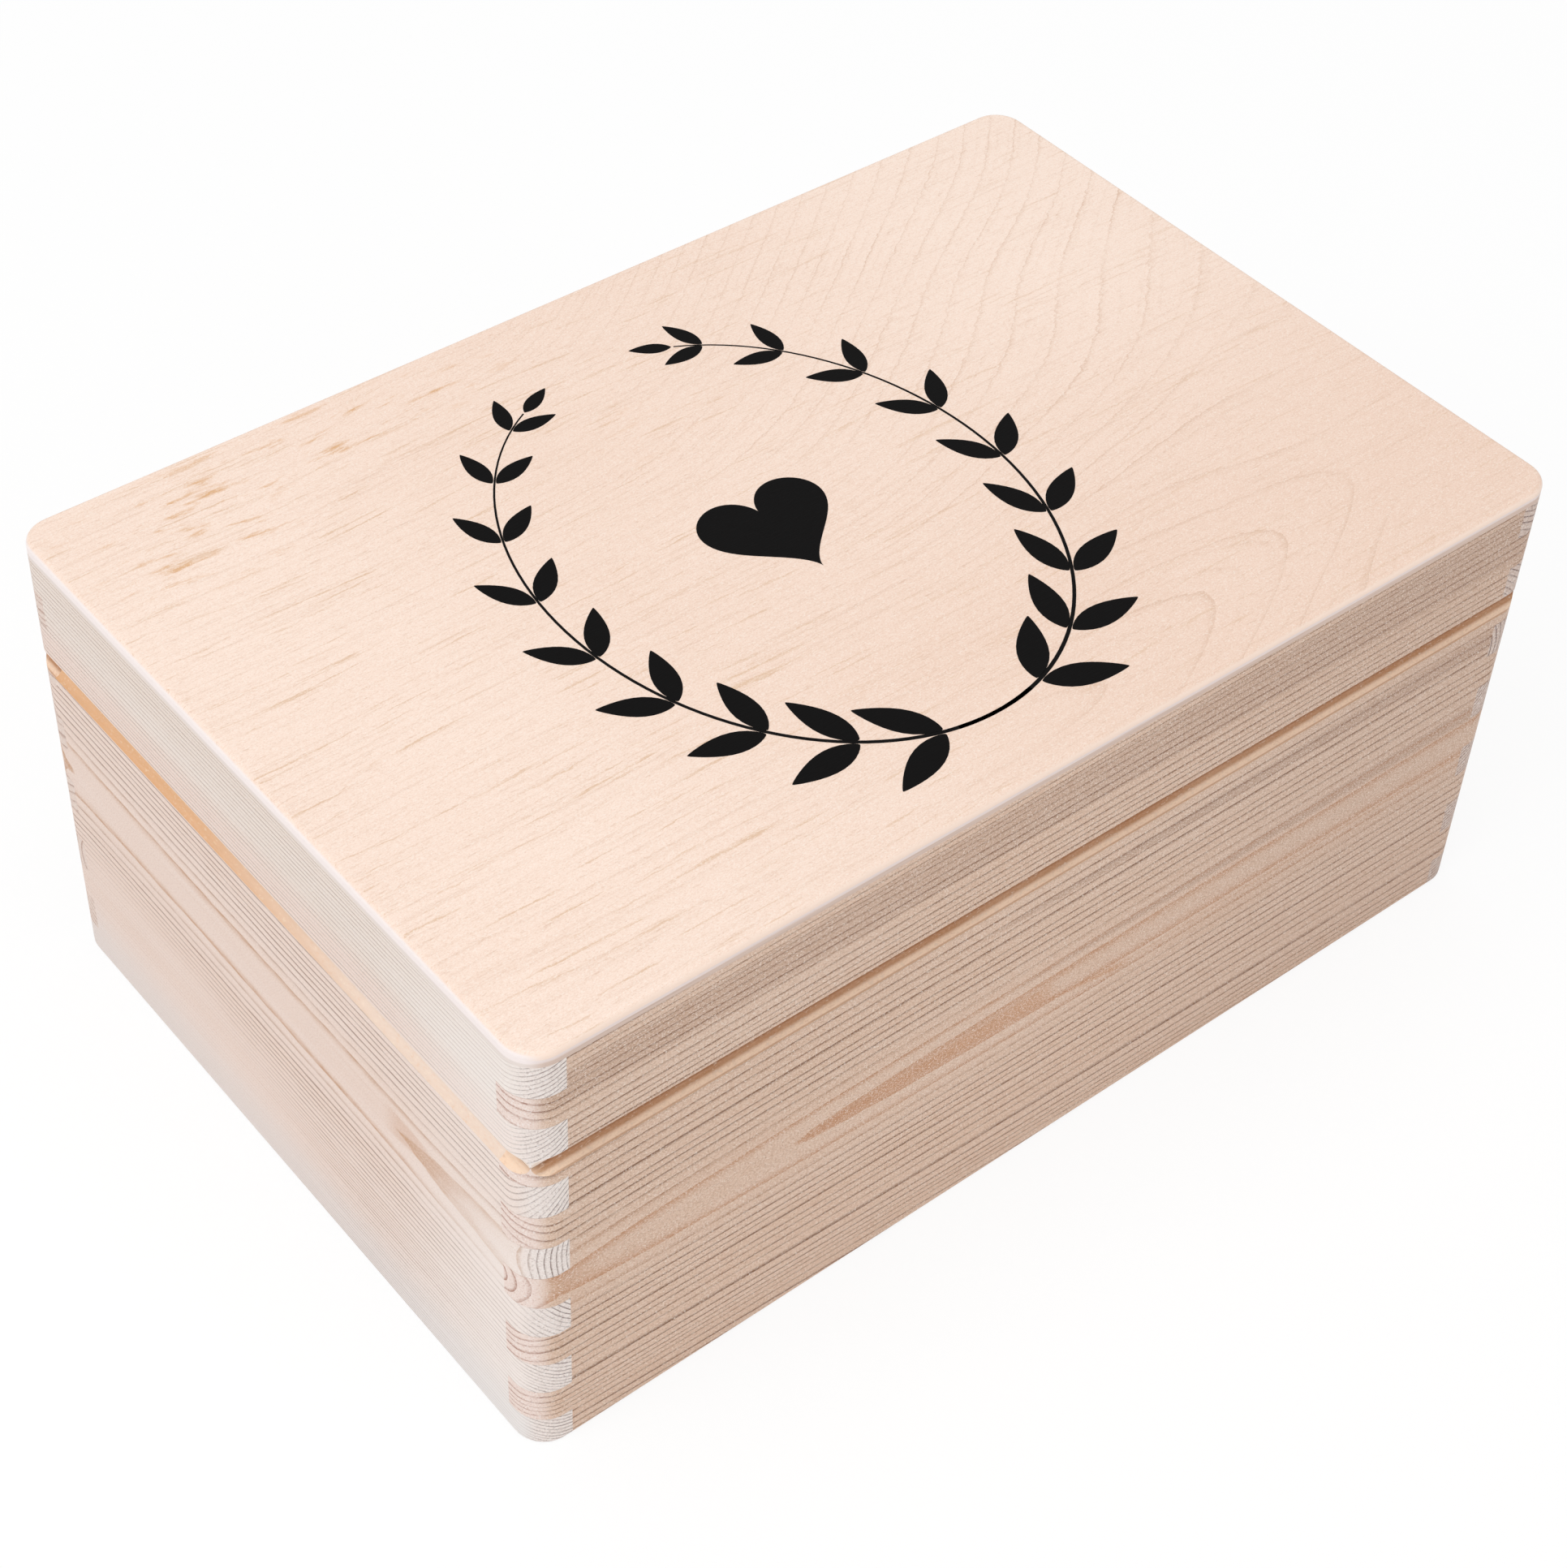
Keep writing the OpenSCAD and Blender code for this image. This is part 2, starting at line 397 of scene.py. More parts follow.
# The pine's noises, read along the grain, across the board and up
WANDER = Noise((0.010, 0.06, 0.06), swing=0.22)
RIPPLE = Noise((0.09, 0.30, 0.30), swing=0.07)
LINE_PATCH = Noise((0.014, 0.3, 0.3), detail=2.0, swing=0.2)
LINE_NICKS = Noise((0.16, 1.1, 1.1), detail=3.0, rough=0.65, swing=0.45)
PINE_FIBRES = Noise((0.018, 1.7, 1.7), detail=3.0, rough=0.6)
PINE_GRIT = Noise((2.1, 4.2, 4.2), detail=2.0, rough=0.7)
PINE_BROAD = Noise((0.007, 0.07, 0.07), (0.0, 0.0, 3.0), detail=2.0)
STREAK_EDGE = Noise((0.12, 0.5, 0.0), (0.0, 0.0, 6.0), detail=3.0, rough=0.6, swing=0.45)
# Noises read by the ring's radius and by its number
UNEVEN_RINGS = Noise((0.13, 0.0, 0.0), (0.0, 3.7, 1.3))
RING_DARKNESS = Noise((0.713, 0.0, 0.0), (0.0, 9.1, 4.4), detail=0.0, swing=0.3)
# Noises read by the box's X, Y and Z
END_GRIT = Noise((2.4, 2.4, 2.4), detail=2.0, rough=0.6)
END_PITS = Noise((0.9, 0.9, 0.9))
GROOVE_GRIT = Noise((0.7, 0.7, 2.2), detail=3.0, rough=0.65)
GROOVE_BURN = Noise((0.03, 0.03, 0.0), (0.0, 0.0, 2.0), detail=2.0, swing=0.12)

# The rings: how their slope eases past the board's middle, and how they fan out and crowd
SLOPE_EASE = 1600.0
SLOPE_LOSS = 0.325
FAN_ABOVE = 0.35
FAN_BELOW = Ramp(5.0, -10.0, 1.0 - FAN_ABOVE)
CROWD_BELOW = Ramp(-4.0, -16.0)
CROWD_RADIUS = 40.0
UNEVEN_OUTSIDE = Ramp(3.0, 14.0, 0.5)
FIRST_RING = 20.0
# A ring's line: where it darkens within the ring, how sharply, and where it ends
FLAT_CUT = Ramp(17.0, 6.0)
THIN_LINE = Ramp(0.5, 0.97)
THIN_POWER = 2.6
WIDE_LINE = Ramp(0.3, 0.97)
WIDE_POWER = 1.8
LINE_END = Ramp(1.0, 0.972)
LINE_DARKNESS = 0.84
FAINTEST_LINE = 0.08
DARKEST_LINE = 1.2
LINE_FADE = Ramp(1.25, 0.55, 0.85)
# The layers of plain wood over one another
BROAD_TONE = Ramp(-0.9, 0.9, 0.45)
WARM_FIBRES = Ramp(0.0, 1.6, 0.30)
PALE_FIBRES = Ramp(0.0, -1.6, 0.30)
BLUSH_SHARE = 0.8
GLARE = Ramp(1.3, 0.2, 0.6)
FAR_END = Ramp(-20.0, 130.0)
PALE_GRIT = Ramp(0.05, 0.8, 0.85)
DARK_GRIT = Ramp(-0.05, -0.8, 0.42)
# Where the painted light lies: near the near corner and along the foot
NEAR_CORNER = Ramp(-38.0, -97.0)
CORNER_TOP = 0.6
CORNER_LOW = Ramp(80.0, 55.0, 1.0 - CORNER_TOP)
FOOT = Ramp(24.0, 2.0)
CUT_ACROSS = Ramp(0.25, 0.8)
# The outline of a streak, both of a smear and of a band of painted shade
STREAK_GROWTH = 0.6
STREAK_TIP = 0.2
STREAK_RIM = Ramp(-0.4, 1.1)
STREAK_START = Ramp(-2.0, 9.0)
STREAK_END = Ramp(4.0, -5.0)
# The end grain
END_LINE_POWER = 2.0
END_LINE_END = Ramp(1.0, 0.96)
END_LINE_FACE = 0.7
END_LINE_INSIDE = Ramp(2.0, 9.0, 0.4)
PIT_SIZE = Ramp(0.55, 0.8)
END_PALE_GRIT = Ramp(0.1, 0.9, 0.6)
END_DARK_GRIT = Ramp(-0.1, -0.9, 0.45)
# The groove's rim, measured out from its radius, and how much of the wood its tint covers
RIM_OUT = 0.12
RIM_IN = 0.03
GROOVE_SHARE = 0.94
# The grip groove's router tint and painted shade by its level below the parting line
DEEP_LINE = Ramp(-1.2, -0.5, 0.75)
LIP_LOW = Ramp(-3.0, -2.9)
LIP_HIGH = Ramp(-2.72, -2.82, 0.55)
GROOVE_PALE_GRIT = Ramp(0.1, 0.9, 0.5)
GROOVE_DARK_GRIT = Ramp(-0.1, -0.9, 0.3)

# Painted light: a pale veil near the near corner and a paler, greyer foot
CORNER_LIGHT: Colour = (250, 244, 240)
FOOT_LIGHT: Colour = (228, 229, 230)
# Painted shade that darkens a board towards its far end
FAR_PAINTED_SHADE: Colour = (168, 138, 120)
SMEAR_TONE: Colour = (204, 152, 114)
# Painted shade: the colour of the wide bands that darken the front boards
PAINTED_SHADE_TONE: Colour = (160, 126, 106)
PIT_TONE: Colour = (150, 96, 78)
END_FLUFF: Colour = (252, 249, 247)
GROOVE_FLUFF: Colour = (252, 236, 218)


@dataclass(frozen=True)
class BoardPlace:
    """Where a point of the surface lies on its board, in millimetres."""

    x: Shade
    y: Shade
    z: Shade
    along: Shade
    across: Shade
    depth: Shade


@dataclass(frozen=True)
class RingLines:
    """The rings at a point: how far through its ring it lies, how flat the cut is and how dark the line."""

    part: Shade
    flat: Shade
    darkness: Shade


@dataclass(frozen=True)
class Rings:
    """The growth rings of one plank, in millimetres.

    The pith lies pith_depth behind the board's outer face. The rings are counted from the radius edge,
    climb by fall along the grain, fan out by spread and crowd together by crowd far out. They lie closer
    by crowd_below under the pith. Where the saw cut them flat, they stay as dark as flat_darkness.
    """

    pith_depth: float
    pith_z: float
    width: float
    edge: float
    fall: float = 0.0
    low_end: EndDrift = NO_DRIFT
    high_end: EndDrift = NO_DRIFT
    crowd: float = 0.0024
    crowd_below: float = 0.42
    spread: float = 0.0
    flat_darkness: float = 0.0
    line: float = 1.05

    def read(self, bench: Bench, at: BoardPlace, half_along: float) -> RingLines:
        """Finds the rings at each point of the surface.

        Args:
            bench: The material's bench.
            at: The point's place on the board.
            half_along: Half of the board's length.

        Returns:
            The ring's lines there.
        """
        spot = (at.along, at.across, at.z)
        drift = self.low_end.at(at.along + half_along) + self.high_end.at(half_along - at.along)
        deep = at.depth - self.pith_depth - drift
        bend = at.along - ((at.along * at.along + SLOPE_EASE).root() + at.along) * SLOPE_LOSS
        height = at.z - self.pith_z
        fanned = bend * (height.ramp(FAN_BELOW) + FAN_ABOVE) * self.spread + 1.0
        tall = (height - bend * self.fall) / fanned
        radius = (deep * deep + tall * tall).root()
        radius = radius + bench.cloud(WANDER, *spot) + bench.cloud(RIPPLE, *spot)
        off = radius - self.edge
        outer = (radius - CROWD_RADIUS).most(0.0)
        closer = tall.ramp(CROWD_BELOW) * self.crowd_below + 1.0
        uneven = bench.cloud(UNEVEN_RINGS, radius) * off.ramp(UNEVEN_OUTSIDE)
        count = off * closer / self.width + outer * outer * self.crowd + uneven + FIRST_RING
        flat = tall.size().ramp(FLAT_CUT)
        broken = bench.cloud(LINE_PATCH, *spot) + bench.cloud(LINE_NICKS, *spot)
        darkness = bench.cloud(RING_DARKNESS, count.whole()) + broken + LINE_DARKNESS
        darkness = darkness.most(FAINTEST_LINE).least(DARKEST_LINE).most(flat * self.flat_darkness)
        return RingLines(count.fraction(), flat, darkness)


@dataclass(frozen=True)
class Streak:
    """A streak over a board: in its default colour a smear of darker late wood where the saw cut flat along a
    ring, and in the shade colour a band of painted shade.

    It grows from its thin end at start, which lies at its height, to its thick end and climbs by slope.
    """

    start: float
    end: float
    height: float
    slope: float
    thick: float
    show: float
    colour: Colour = SMEAR_TONE

    def share(self, bench: Bench, along: Shade, z: Shade) -> Shade:
        """Finds how much of the streak shows.

        Args:
            bench: The material's bench.
            along: The place along the grain in millimetres.
            z: The surface's height in millimetres.

        Returns:
            A number from 0 to 1.
        """
        gone = along - self.start
        grown = (gone / (self.end - self.start)).most(0.0).least(1.0) ** STREAK_GROWTH
        half = grown * (self.thick * 0.5) + STREAK_TIP
        gap = (z - self.height - gone * self.slope + bench.cloud(STREAK_EDGE, along, z)).size()
        ends = gone.ramp(STREAK_START) * (along - self.end).ramp(STREAK_END)
        return (half - gap).ramp(STREAK_RIM) * ends * self.show


@dataclass(frozen=True)
class GrooveTintAndShade:
    """The grip groove's colour: the router's warm tint on its walls, and painted shade under the lid's
    overhang.

    The deep line along its middle is painted shade at the parting gap, and a dark line runs along its lower
    lip.
    The tint comes in along the grain by fade and darkens upwards by step, partly by router burn and partly as
    painted shade. The groove's axis lies outside the board's face.
    """

    deep: Colour = (142, 86, 44)
    dark: Colour = (182, 128, 86)
    pale: Colour = (252, 224, 198)
    fade: Ramp = Ramp(-1000.0, -900.0)
    step: Ramp = Ramp(-2.5, -1.6, 0.92)
    radius: float = 3.0
    outside: float = 0.8

    def lay(self, bench: Bench, wood: object, at: BoardPlace) -> bpy.types.NodeSocket:
        """Lays the router's tint and the painted shade over the groove's walls.

        Args:
            bench: The material's bench.
            wood: The wood's colour so far.
            at: The point's place on the board.

        Returns:
            The colour with the groove's tint.
        """
        level = at.z - PARTING_Z
        out_y = HALF_WIDTH + self.outside - at.y.size()
        out_x = HALF_LENGTH + self.outside - at.x.size()
        nearest = (out_y * out_y + level * level).root().least((out_x * out_x + level * level).root())
        inside = nearest.ramp(Ramp(self.radius + RIM_OUT, self.radius + RIM_IN, GROOVE_SHARE))
        grit = bench.cloud(GROOVE_GRIT, at.x, at.y, at.z)
        burn = bench.cloud(GROOVE_BURN, at.x, at.y)
        reach = at.along.ramp(self.fade)
        share = (level.ramp(self.step) + grit * 0.22 + burn) * reach
        tint = bench.layers(
            self.pale,
            # partly router burn and partly painted shade: darker upwards under the lid's overhang
            (share.most(0.0).least(1.0), self.dark),
            # painted shade: the dark deep line at the parting gap
            ((level.ramp(DEEP_LINE) + grit * 0.2).most(0.0) * reach, self.deep),
            (grit.ramp(GROOVE_PALE_GRIT), GROOVE_FLUFF),
            (grit.ramp(GROOVE_DARK_GRIT), self.dark),
            (level.ramp(LIP_LOW) * level.ramp(LIP_HIGH) * reach, self.dark),
        )
        return bench.blend(inside, wood, tint)


@dataclass(frozen=True)
class PineFinish:
    """Sanded bare pine, coloured by growth rings that run through the whole plank.

    The early wood is pale and the late wood dark, or of the glow colour where the saw cut it flat. Colours
    with end_ are the end grain's. Shares such as pits, sparkle and far_shade say how much of a look shows.
    The far_shade is painted shade towards the far end, corner_light and foot_light are painted light near the
    near corner and along the foot, and streaks may be bands of painted shade.
    """

    name: str
    grain: Grain
    side: Side
    rings: Rings
    pale: Colour = (226, 197, 176)
    dark: Colour = (132, 93, 68)
    glow: Colour = (196, 142, 104)
    end_pale: Colour = (240, 229, 223)
    end_dark: Colour = (132, 110, 104)
    pits: float = 0.0
    sparkle: float = 1.0
    fade: Spot = NOWHERE
    glare: Spot = NOWHERE
    streaks: tuple[Streak, ...] = ()
    far_shade: float = 0.0
    corner_light: float = 0.0
    foot_light: float = 0.0
    blush: Colour = (240, 212, 201)
    blush_range: Ramp = Ramp(-900.0, -1000.0, BLUSH_SHARE)
    groove: GrooveTintAndShade = GrooveTintAndShade()

    def make(self) -> bpy.types.Material:
        """Builds the material.

        Returns:
            The pine for one board.
        """
        bench = Bench(bpy.data.materials.new(self.name))
        x, y, z = bench.places()
        along_x = self.grain is Grain.ALONG_X
        along, across = (x, y) if along_x else (y, x)
        half_along, half_across = (HALF_LENGTH, HALF_WIDTH) if along_x else (HALF_WIDTH, HALF_LENGTH)
        at = BoardPlace(x, y, z, along, across, half_across - across * self.side.value)
        lines = self.rings.read(bench, at, half_along)
        fibres = bench.cloud(PINE_FIBRES, along, across, z)
        grit = bench.cloud(PINE_GRIT, along, across, z)
        near_corner = along.ramp(NEAR_CORNER) * (z.ramp(CORNER_LOW) + CORNER_TOP)
        wood = bench.layers(
            self._plain_wood(bench, at, fibres),
            (self._mark(at, lines), bench.blend(lines.flat, self.dark, self.glow)),
            # painted shade: the board darkens towards its far end
            (along.ramp(FAR_END) * self.far_shade, FAR_PAINTED_SHADE),
            (grit.ramp(PALE_GRIT) * self.sparkle, self._paler(self.pale)),
            (grit.ramp(DARK_GRIT) * self.sparkle, self.dark),
            # painted light: a pale veil, as a reflection, near the near corner
            (near_corner * self.corner_light, CORNER_LIGHT),
            # painted light: paler and greyer towards the foot
            (z.ramp(FOOT) * self.foot_light, FOOT_LIGHT),
            (bench.facing(self.grain.value).ramp(CUT_ACROSS), self._end_wood(bench, at, lines)),
        )
        wood = self.groove.lay(bench, wood, at)
        return bench.surface(wood, 0.66, fibres * 0.3 + grit * 0.45, bump_mm=0.035, gloss=0.22)

    @staticmethod
    def _warmer(colour: Colour) -> Colour:
        """Returns a slightly darker and warmer shade of a wood colour."""
        return (colour[0] - 8.0, colour[1] - 14.0, colour[2] - 19.0)

    @staticmethod
    def _paler(colour: Colour) -> Colour:
        """Returns the pale shade that raised fibres give a wood colour."""
        return tuple(min(252.0, c + 0.55 * (250.0 - c)) for c in colour)

    def _plain_wood(self, bench: Bench, at: BoardPlace, fibres: Shade) -> bpy.types.NodeSocket:
        """Colours the wood between the rings' lines.

        Args:
            bench: The material's bench.
            at: The point's place on the board.
            fibres: The noise of the fibres.

        Returns:
            The wood's colour.
        """
        paler = self._paler(self.pale)
        broad = bench.cloud(PINE_BROAD, at.along, at.across, at.z)
        return bench.layers(
            self.pale,
            (broad.ramp(BROAD_TONE), self._warmer(self.pale)),
            (fibres.ramp(WARM_FIBRES), self.glow),
            (fibres.ramp(PALE_FIBRES), paler),
            (at.z.ramp(self.blush_range), self.blush),
            (self.glare.distance(at.along, at.z).ramp(GLARE), paler),
            *((streak.share(bench, at.along, at.z), streak.colour) for streak in self.streaks),
        )

    def _mark(self, at: BoardPlace, lines: RingLines) -> Shade:
        """Returns how much of the late wood's colour shows on the faces along the grain."""
        thin = lines.part.ramp(THIN_LINE) ** THIN_POWER
        wide = lines.part.ramp(WIDE_LINE) ** WIDE_POWER
        late = (thin + (wide - thin) * lines.flat) * lines.part.ramp(LINE_END)
        faded = self.fade.distance(at.along, at.z).ramp(LINE_FADE)
        return (late * lines.darkness * self.rings.line * (1.0 - faded)).least(1.0)

    def _end_wood(self, bench: Bench, at: BoardPlace, lines: RingLines) -> bpy.types.NodeSocket:
        """Colours the board's end grain by the same rings.

        Args:
            bench: The material's bench.
            at: The point's place on the board.
            lines: The rings' lines there.

        Returns:
            The end grain's colour.
        """
        grit = bench.cloud(END_GRIT, at.x, at.y, at.z)
        late = (lines.part.ramp(THIN_LINE) ** END_LINE_POWER) * lines.part.ramp(END_LINE_END)
        mark = (late * lines.darkness * (at.depth.ramp(END_LINE_INSIDE) + END_LINE_FACE)).least(1.0)
        wood = bench.blend(mark, self.end_pale, self.end_dark)
        if self.pits:
            holes = bench.cloud(END_PITS, at.x, at.y, at.z).ramp(PIT_SIZE)
            wood = bench.blend(holes * late * self.pits, wood, PIT_TONE)
        wood = bench.blend(grit.ramp(END_PALE_GRIT), wood, END_FLUFF)
        return bench.blend(grit.ramp(END_DARK_GRIT), wood, self.end_dark)


# The veneer's noises, read by the box's X, Y and Z
SWAY = Noise((0.009, 0.009, 0.0), (0.0, 0.0, 0.063))
JAG = Noise((0.25, 0.6, 0.0), detail=4.0, rough=0.65)
VENEER_PATCH = Noise((0.015, 0.05, 0.0), (0.0, 0.0, 5.0), detail=2.0)
VENEER_FIBRES = Noise((0.035, 1.1, 2.0), detail=4.0, rough=0.65)
VENEER_FLECKS = Noise((0.28, 1.9, 2.0), detail=2.0, rough=0.6)
VENEER_DASHES = Noise((0.035, 0.9, 2.0), (0.0, 0.0, 5.0), detail=4.0, rough=0.62)
VENEER_GRIT = Noise((2.2, 3.4, 3.0), detail=2.0, rough=0.7)
VENEER_BROAD = Noise((0.012, 0.022, 0.0), (0.0, 0.0, 2.0), detail=2.0, swing=0.14)
VENEER_SMUDGE = Noise((0.05, 0.26, 0.0), (0.0, 0.0, 8.0), detail=3.0, rough=0.7)
PLY_FUZZ = Noise((0.9, 0.9, 5.0), detail=3.0, rough=0.7)
PLY_LINES = Noise((0.03, 0.03, 4.0), detail=3.0, rough=0.6)

# The veneer's figure: tongues of growth lines around a ridge, which fan out towards the back
FAN_BACK = Ramp(0.0, 90.0)
FAN_RATE = 0.0062
RIDGE_TURN = 0.22
SOFT_START = 400.0
BOWL_WIDTH = 6.0
BOWL_EASE = 40.0
TONGUE = Ramp(50.0, 16.0)
TIP_START = 0.67
QUIET_AHEAD = Ramp(98.0, 120.0)
QUIET_RIDGE = Ramp(66.0, 36.0, 0.85)
FIGURE_RIGHT = Ramp(-40.0, 70.0, 0.65)
FIGURE_LEFT = 0.35
FIGURE_POWER = 20.0
FIGURE_END = Ramp(1.0, 0.985)
FINE_RATE = 2.37
FINE_START = 0.31
FINE_POWER = 9.0
FINE_END = Ramp(1.0, 0.96)
# The veneer's warmth over the panel
WARM_MIDDLE = 0.22
WARM_RIGHT = Ramp(-110.0, -50.0, 0.32)
WARM_FRONT = Ramp(0.0, -70.0)
WARM_FRONT_RIGHT = Ramp(-70.0, 30.0, 0.42)
PALE_BACK = Ramp(-20.0, 40.0)
PALE_BACK_RIGHT = Ramp(0.0, 110.0, 0.48)
# The veneer's layers
FIBRE_TONE = Ramp(0.0, 1.3, 0.36)
FLECK_TONE = Ramp(0.4, 1.1, 0.4)
DASH_TONE = Ramp(0.3, 0.85)
DASH_LEFT = 0.85
DASH_RIGHT = Ramp(-60.0, 90.0, 0.4)
STAIN_SPOT = Ramp(1.3, 0.3)
STAIN_TONE = Ramp(0.1, 0.8)
VENEER_PALE_GRIT = Ramp(0.05, 0.8, 0.55)
VENEER_DARK_GRIT = Ramp(-0.05, -0.8, 0.32)
FACE_CUT = Ramp(0.45, 0.85)
VENEER_FLUFF: Colour = (255, 244, 234)

# The panel's edge by its level, 0 at the underside and 1 at the top, along the grain and across it
LONG_MIDDLE_PLY = Ramp(0.62, 0.5)
LONG_LOWER_PLY = Ramp(0.4, 0.28)
LINED_PLY = Ramp(0.6, 0.3)
END_LOWER_PLY = Ramp(0.34, 0.2)
PLY_LINE_TONE = Ramp(-0.2, 0.9, 0.45)
PLY_FUZZ_TONE = Ramp(0.0, 1.0, 0.45)
EDGE_TURN = Ramp(0.3, 0.8)
LONG_TOP: Colour = (252, 229, 213)
LONG_MIDDLE: Colour = (240, 224, 219)
LONG_LOWER: Colour = (220, 197, 184)
LONG_LINES: Colour = (176, 146, 128)
END_TOP: Colour = (250, 239, 236)
END_LOWER: Colour = (234, 222, 215)
END_FUZZ: Colour = (222, 212, 212)


@dataclass(frozen=True)
class VeneerFinish:
    """Sanded birch plywood: a figured veneer on its faces and plies along its edges.

    Each of the spots is stained by its share. The growth lines run along a ridge, fan out behind fan_y and
    end in tongues from tongue_x on, whose tips lie tip_gap apart. All lengths are in millimetres.
    """

    name: str
    low_z: float
    high_z: float
    pale: Colour = (253, 231, 216)
    warm: Colour = (243, 215, 197)
    line: Colour = (216, 180, 154)
    stain: Colour = (222, 174, 126)
    dash: Colour = (226, 192, 162)
    spots: tuple[tuple[Spot, float], ...] = (
        (Spot(-84.0, 86.0, 64.0, 12.0), 1.0),
        (Spot(-120.0, 68.0, 28.0, 14.0), 0.9),
        (Spot(-12.0, 44.0, 16.0, 12.0), 0.3),
    )
    ridge_y: float = -87.0
    fan_y: float = -39.0
    fan_x: float = -20.0
    tongue_x: float = 20.0
    tip_gap: float = 28.0

    def make(self) -> bpy.types.Material:
        """Builds the material.

        Returns:
            The plywood of one panel.
        """
        bench = Bench(bpy.data.materials.new(self.name))
        x, y, z = bench.places()
        sway = bench.cloud(SWAY, x, y)
        jag = bench.cloud(JAG, x, y)
        fibre = bench.cloud(VENEER_FIBRES, x, y, z)
        fleck = bench.cloud(VENEER_FLECKS, x, y, z)
        grit = bench.cloud(VENEER_GRIT, x, y, z)
        dash = bench.cloud(VENEER_DASHES, x, y + sway * 2.78 + jag * 0.33, z)
        smudge = bench.cloud(VENEER_SMUDGE, x, y + sway * 3.85).ramp(STAIN_TONE)
        outs = [(spot.distance(x, y), show) for spot, show in self.spots]
        wood = bench.layers(
            self.pale,
            (self._warmth(bench, x, y), self.warm),
            *((line, self.line) for line in self._figure(bench, x, y, sway, jag, fleck)),
            (fibre.ramp(FIBRE_TONE), self.line),
            (fleck.ramp(FLECK_TONE), self.line),
            (dash.ramp(DASH_TONE) * (DASH_LEFT - x.ramp(DASH_RIGHT)), self.dash),
            *(((out * out).ramp(STAIN_SPOT) * smudge * show, self.stain) for out, show in outs),
            (grit.ramp(VENEER_PALE_GRIT), VENEER_FLUFF),
            (grit.ramp(VENEER_DARK_GRIT), self.line),
            (1.0 - bench.facing(2).ramp(FACE_CUT), self._edge(bench, x, y, z)),
        )
        return bench.surface(wood, 0.6, fibre * 0.3 + grit * 0.4, bump_mm=0.03, gloss=0.22)

    def _figure(
        self, bench: Bench, x: Shade, y: Shade, sway: Shade, jag: Shade, fleck: Shade
    ) -> tuple[Shade, Shade]:
        """Draws the growth lines as tongues around the ridge.

        Args:
            bench: The material's bench.
            x: The surface's X in millimetres.
            y: The surface's Y in millimetres.
            sway: The slow noise that bends the lines.
            jag: The fine noise that roughens them.
            fleck: The noise that breaks the fine lines.

        Returns:
            How much the main lines and the fine lines show.
        """
        ahead = self._eased(x - self.tongue_x)
        raised = y - self.fan_y
        fanned = self._eased(x - self.fan_x) * FAN_RATE * raised.ramp(FAN_BACK) + 1.0
        off = raised / fanned + self.fan_y - self.ridge_y - ahead * RIDGE_TURN
        off = (off + sway * 2.2 + jag * 0.3).size()
        bowl = off * off / BOWL_WIDTH / (off / BOWL_EASE + 1.0)
        height = bowl + (ahead + sway * 3.0) * off.ramp(TONGUE) + jag * 0.8
        count = height / self.tip_gap + TIP_START
        part = count.fraction()
        fine = (count * FINE_RATE + FINE_START).fraction()
        quiet = 1.0 - x.ramp(QUIET_AHEAD) * off.ramp(QUIET_RIDGE)
        patchy = bench.cloud(VENEER_PATCH, x, y)
        broken = (patchy * 0.4 + 0.62).most(0.1) * (x.ramp(FIGURE_RIGHT) + FIGURE_LEFT)
        main = (part ** FIGURE_POWER) * part.ramp(FIGURE_END) * broken
        broken = (patchy * 0.3 + fleck * 0.3 + 0.15).most(0.0)
        finer = (fine ** FINE_POWER) * fine.ramp(FINE_END) * broken
        return main * quiet, finer * quiet

    @staticmethod
    def _warmth(bench: Bench, x: Shade, y: Shade) -> Shade:
        """Returns how warm the veneer is over the panel, from 0 to 1."""
        warmth = x.ramp(WARM_RIGHT) + bench.cloud(VENEER_BROAD, x, y) + WARM_MIDDLE
        warmth = warmth + y.ramp(WARM_FRONT) * x.ramp(WARM_FRONT_RIGHT)
        warmth = warmth - y.ramp(PALE_BACK) * x.ramp(PALE_BACK_RIGHT)
        return warmth.most(0.0).least(1.0)

    @staticmethod
    def _eased(ahead: Shade) -> Shade:
        """Returns 0 behind a place and the distance past it, with a soft start."""
        return ((ahead * ahead + SOFT_START).root() + ahead) * 0.5

    def _edge(self, bench: Bench, *place: Shade) -> bpy.types.NodeSocket:
        """Colours the panel's edge by its three plies.

        Args:
            bench: The material's bench.
            place: The surface's X, Y and Z in millimetres.

        Returns:
            The edge's colour.
        """
        level = (place[2] - self.low_z) / (self.high_z - self.low_z)
        fuzz = bench.cloud(PLY_FUZZ, *place).ramp(PLY_FUZZ_TONE)
        lines = bench.cloud(PLY_LINES, *place).ramp(PLY_LINE_TONE) * level.ramp(LINED_PLY)
        middle, lower = level.ramp(LONG_MIDDLE_PLY), level.ramp(LONG_LOWER_PLY)
        long_grain = bench.layers(LONG_TOP, (middle, LONG_MIDDLE), (lower, LONG_LOWER), (lines, LONG_LINES))
        end_grain = bench.layers(END_TOP, (level.ramp(END_LOWER_PLY), END_LOWER), (fuzz, END_FUZZ))
        return bench.blend(bench.facing(0).ramp(EDGE_TURN), long_grain, end_grain)


